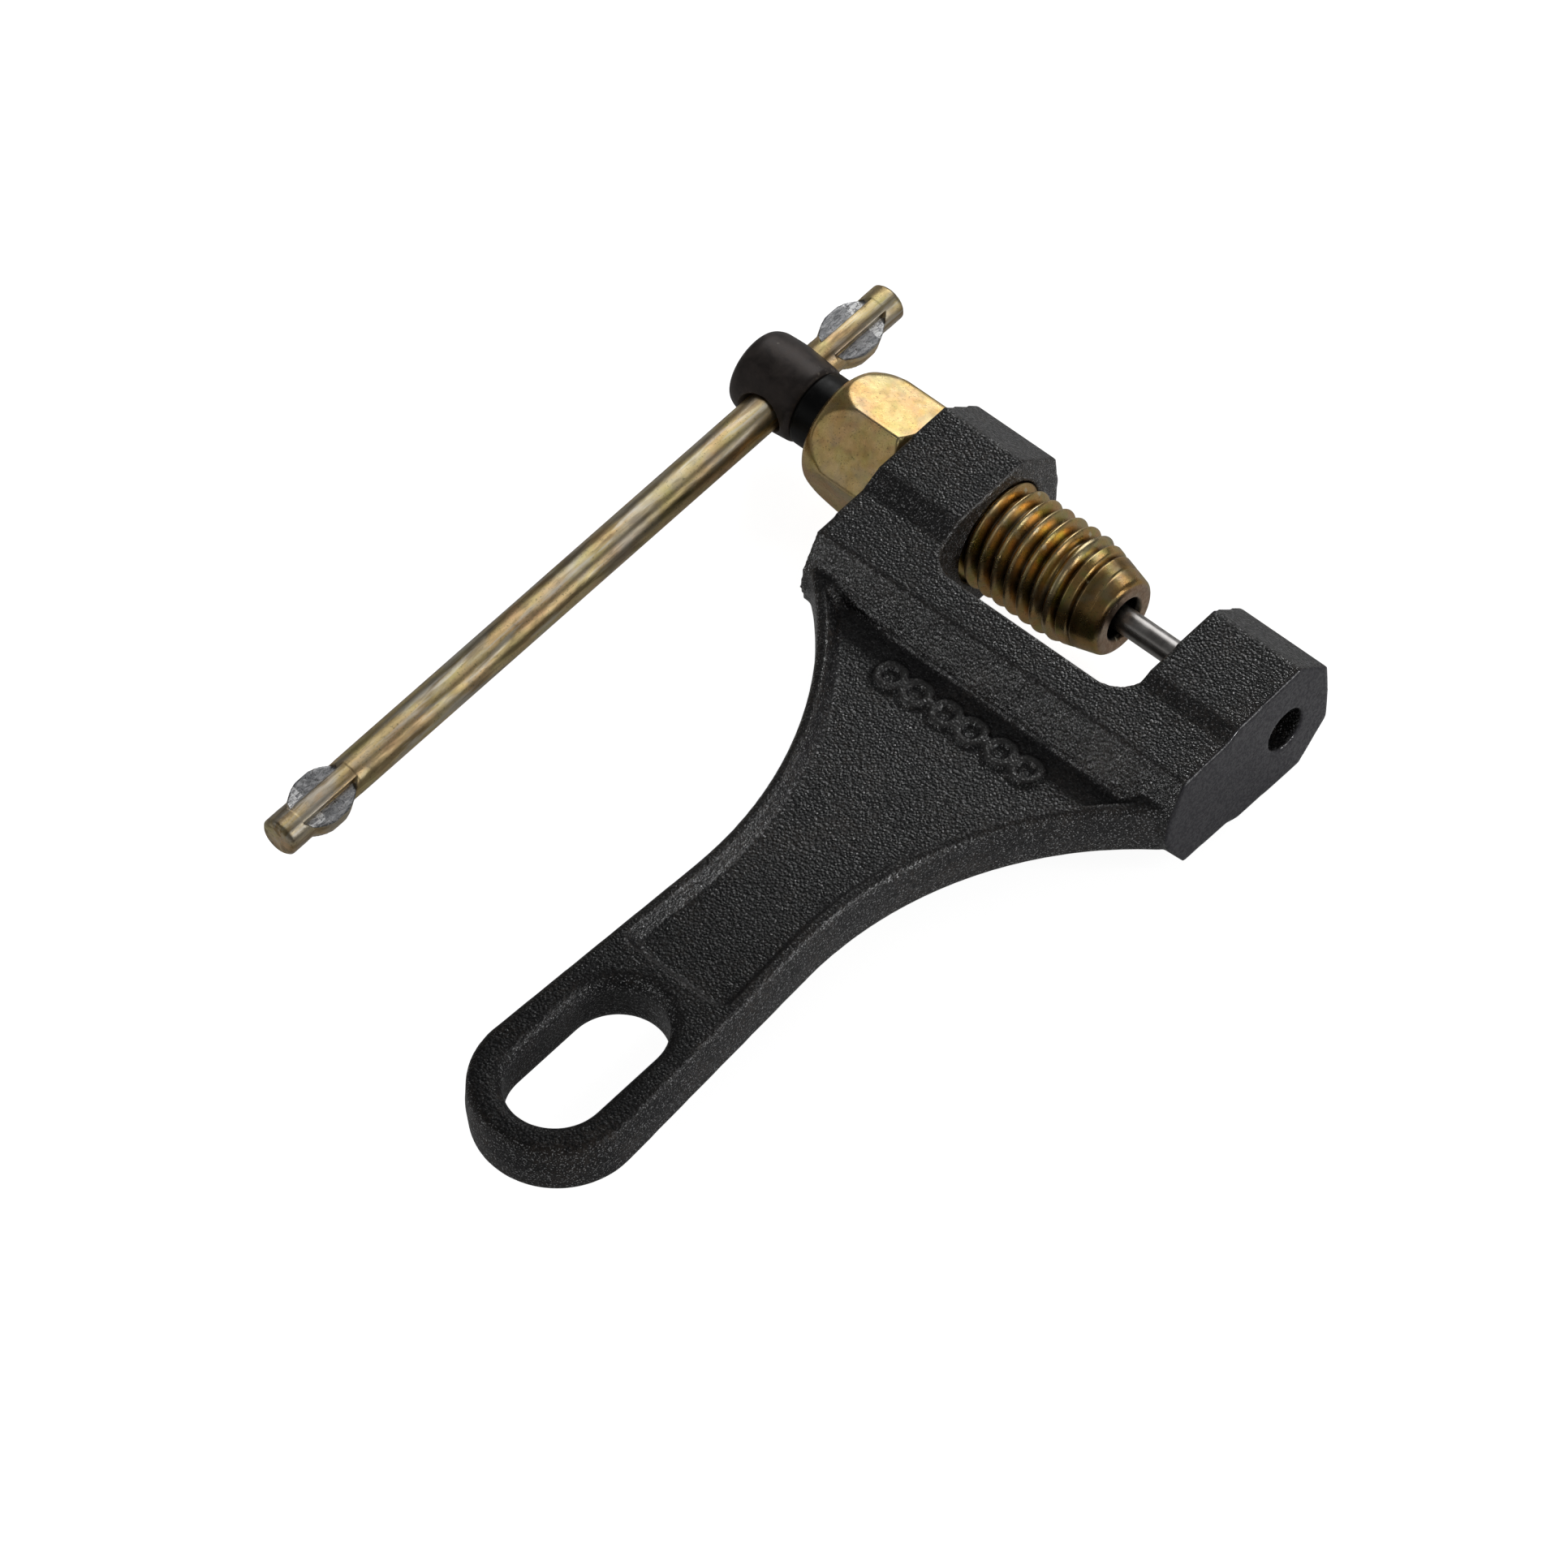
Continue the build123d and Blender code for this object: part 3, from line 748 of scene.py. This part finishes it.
# ---------------------------------------------------------------- floor
def paper_floor(name, z, brightness, glow):
    """A wide sheet of plain paper under the tool."""
    reach = 3.0
    corners = [(-reach, -reach, z), (reach, -reach, z), (reach, reach, z), (-reach, reach, z)]
    mesh = bpy.data.meshes.new(name)
    mesh.from_pydata(corners, [], [(0, 1, 2, 3)])
    sheet = add_object(name, mesh)
    g = Graph(name)
    fleck = g.span(g.noise(40.0, 2.0, 0.5), 0.3, 0.7)
    g.set(Base_Color=g.mix(fleck, (brightness,) * 3, (brightness + 0.02,) * 3))
    g.shader.inputs["Roughness"].default_value = 0.9
    g.shader.inputs["Emission Color"].default_value = (1, 1, 1, 1)
    g.shader.inputs["Emission Strength"].default_value = glow
    # the sheet is only there from above, so that the tool can be looked at from underneath
    behind = g.node("ShaderNodeNewGeometry").outputs["Backfacing"]
    clear = g.node("ShaderNodeBsdfTransparent").outputs[0]
    sides = g.node("ShaderNodeMixShader", inputs={0: behind, 1: g.shader.outputs[0], 2: clear})
    g.tree.links.new(sides.outputs[0], g.tree.nodes["Material Output"].inputs["Surface"])
    mesh.materials.append(g.material)
    return sheet


# the camera sees a softly lit white sheet; the tool is lit and mirrored by a plainer one under it
floor_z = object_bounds()[0][2] - 0.1 * MM
backdrop = paper_floor("floor_white", floor_z, brightness=0.90, glow=0.93)
backdrop.visible_glossy = backdrop.visible_diffuse = backdrop.visible_shadow = False
table = paper_floor("floor_table", floor_z - 0.5 * MM, brightness=0.62, glow=0.10)
table.visible_camera = False

# ---------------------------------------------------------------- light
LIT_POINT = Vector((-20.0, -30.0, 0)) * MM
WORLD_GLOW = 0.08


def lit_group(name, pieces):
    """A collection of pieces for lamps that shine on nothing else."""
    group = bpy.data.collections.new(name)
    for piece in pieces:
        group.objects.link(piece)
    return group


def softbox(name, direction, distance, size, watts, lit):
    """A rectangular lamp that shines at the middle of the tool from a direction, on lit or on all."""
    data = bpy.data.lights.new(name, "AREA")
    data.shape = "RECTANGLE"
    data.size, data.size_y = size
    data.energy = watts
    lamp = add_object(name, data)
    direction = Vector(direction).normalized()
    lamp.location = LIT_POINT + direction * distance
    lamp.rotation_euler = direction.to_track_quat("Z", "Y").to_euler()
    if lit is not None:
        lamp.light_linking.receiver_collection = lit


casting_only = lit_group("casting_only", [casting])
all_but_casting = lit_group("all_but_casting", [bolt, head, shank, pin, ring, bar, backdrop, table])
bar_only = lit_group("bar_only", [bar])
bolt_only = lit_group("bolt_only", [bolt])

# name, direction toward the lamp, distance and size in metres, watts, what it shines on
for lamp in (
    ("bar_box", (-0.10, 0.44, 0.85), 0.70, (0.60, 0.26), 0.36, bar_only),
    ("thread_box", (0.66, -0.26, 0.60), 0.70, (0.26, 0.26), 0.14, bolt_only),
    ("crest_box", (-0.41, -0.43, 0.80), 0.70, (0.10, 0.10), 0.05, bolt_only),
    ("top_box", (-0.36, 0.72, 0.60), 0.75, (0.62, 0.42), 1.15, all_but_casting),
    ("right_strip", (0.84, 0.43, 0.33), 0.70, (0.045, 0.50), 0.45, None),
    ("left_box", (-0.50, -0.74, 0.44), 0.80, (0.42, 0.34), 0.12, None),
    ("hex_box", (-0.41, 0.79, 0.45), 0.76, (0.24, 0.22), 0.10, None),
    ("top_box_dim", (-0.36, 0.72, 0.60), 0.42, (0.32, 0.22), 0.05, casting_only),
    ("low_spark", (-0.41, -0.86, 0.26), 0.80, (0.06, 0.06), 0.85, casting_only),
    ("top_spark", (-0.30, 0.76, 0.58), 0.55, (0.06, 0.06), 0.42, casting_only),
    ("end_spark", (0.62, 0.52, 0.30), 0.80, (0.06, 0.06), 0.6, casting_only),
    ("side_spark", (0.98, 0.12, 0.17), 0.80, (0.06, 0.06), 1.5, casting_only),
):
    softbox(*lamp)

world = bpy.data.worlds.new("studio")
world.use_nodes = True
world.node_tree.nodes["Background"].inputs["Color"].default_value = (1, 1, 1, 1)
world.node_tree.nodes["Background"].inputs["Strength"].default_value = WORLD_GLOW
bpy.context.scene.world = world

# ---------------------------------------------------------------- camera, at the photograph's angle
TARGET = Vector((-30.77, -38.16, -10.65)) * MM
DISTANCE = 1.32625
AZIMUTH, ELEVATION, ROLL = math.radians(43.625), math.radians(53.123), math.radians(-2.0546)
SENSOR, FOCAL = 36.0, 260.87

level = math.cos(ELEVATION)
forward = Vector((-math.sin(AZIMUTH) * level, math.cos(AZIMUTH) * level, -math.sin(ELEVATION)))
right = Vector((math.cos(AZIMUTH), math.sin(AZIMUTH), 0))
upward = right.cross(forward)
rolled_right = right * math.cos(ROLL) + upward * math.sin(ROLL)
rolled_up = upward * math.cos(ROLL) - right * math.sin(ROLL)
camera_data = bpy.data.cameras.new("camera")
camera_data.sensor_width = SENSOR
camera_data.lens = FOCAL
camera_data.clip_start, camera_data.clip_end = 0.05, 20
camera = add_object("camera", camera_data)
pose = Matrix((rolled_right, rolled_up, -forward)).transposed().to_4x4()
pose.translation = TARGET - forward * DISTANCE
camera.matrix_world = pose
bpy.context.scene.camera = camera
bpy.context.scene.view_settings.view_transform = "Standard"
bpy.context.scene.view_settings.look = "None"
